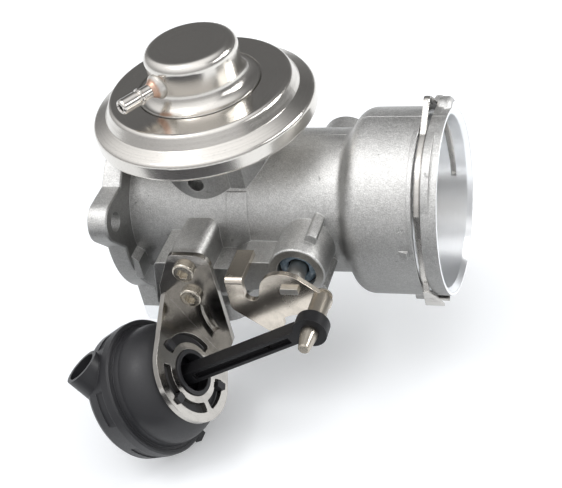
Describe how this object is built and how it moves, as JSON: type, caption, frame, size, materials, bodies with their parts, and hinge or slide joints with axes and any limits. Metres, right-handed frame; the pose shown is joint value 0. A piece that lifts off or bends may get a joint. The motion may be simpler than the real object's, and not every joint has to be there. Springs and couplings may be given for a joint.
{
  "type": "egr valve",
  "caption": "Cast intake tube with a vacuum-lifted gas valve under a round pressed can, a throttle flap, and a vacuum actuator that works its lever by a rod.",
  "frame": {"origin": "centre of the intake bore at the manifold flange face", "axes": "+X along the intake bore to the inlet mouth, +Z the lift direction of the gas valve, -Y the side with the lever, rod and vacuum actuator"},
  "size_m": [0.1231, 0.1251, 0.1244],
  "materials": {
    "cast_housing": "sand-fine cast surface, satin, with machined faces",
    "seat_steel": "turned steel",
    "valve_steel": "turned steel",
    "guide_bronze": "sintered bronze",
    "seal_rubber": "black rubber",
    "can_steel": "bright plated pressed steel",
    "can_steel_lower": "bright plated pressed steel",
    "screw_steel": "plated steel",
    "nipple_steel": "bright plated steel",
    "braze_copper": "copper braze",
    "diaphragm_rubber": "fabric backed rubber",
    "spring_steel": "spring wire",
    "shaft_steel": "ground steel",
    "flap_brass": "rolled brass",
    "lever_steel": "nickel plated sheet steel",
    "clip_steel": "stainless spring wire",
    "actuator_plastic": "black glass-filled plastic, satin",
    "rod_plastic": "black plastic, satin"
  },
  "bodies": {
    "body": {"housing": "cast_housing", "egr_seat": "seat_steel", "stem_guide": "guide_bronze", "stem_seal": "seal_rubber", "lower_can": "can_steel_lower", "can_screws": "screw_steel", "upper_can": "can_steel", "vacuum_nipple": "nipple_steel", "nipple_braze": "braze_copper", "diaphragm": "diaphragm_rubber", "valve_spring": "spring_steel", "front_bush": "guide_bronze", "rear_bush": "guide_bronze", "shaft_seal": "seal_rubber", "boss_plug": "screw_steel", "actuator_bell": "actuator_plastic", "actuator_cover": "actuator_plastic", "actuator_diaphragm": "diaphragm_rubber", "actuator_spring": "spring_steel", "bracket": "lever_steel", "bracket_screws": "screw_steel", "hose_clip": "clip_steel"},
    "gas_valve": {"egr_poppet": "valve_steel", "lower_plate": "valve_steel", "upper_plate": "valve_steel", "stem_nut": "screw_steel"},
    "throttle": {"throttle_shaft": "shaft_steel", "throttle_flap": "flap_brass", "flap_screws": "screw_steel", "lever": "lever_steel", "lever_pin": "shaft_steel"},
    "rod": {"rod": "rod_plastic"},
    "piston": {"actuator_piston": "rod_plastic"}
  },
  "joints": [
    {"name": "gas_valve_lift", "type": "slide", "parent": "body", "child": "gas_valve", "axis": [0, 0, 1], "range_m": [0, 0.005], "stiffness_N_per_m": 2000, "springref_m": -0.01, "deforming": ["valve_spring", "diaphragm"]},
    {"name": "throttle_turn", "type": "hinge", "parent": "body", "child": "throttle", "pos_m": [0.0703, 0, 0], "axis": [0, 1, 0], "range_deg": [0, 80]},
    {"name": "rod_swivel", "type": "hinge", "parent": "throttle", "child": "rod", "pos_m": [0.0802, -0.0605, -0.0042], "axis": [0, 1, 0], "range_deg": [-80, 0]},
    {"name": "piston_slide", "type": "slide", "parent": "body", "child": "piston", "axis": [-0.8909, 0, -0.4542], "range_m": [0, 0.01383], "stiffness_N_per_m": 150, "springref_m": -0.006, "deforming": ["actuator_spring", "actuator_diaphragm"]}
  ],
  "couplings": [
    {"joint": "throttle_turn", "follows": "piston_slide", "rad_per_m": 100.99},
    {"joint": "rod_swivel", "follows": "piston_slide", "rad_per_m": -100.99}
  ]
}
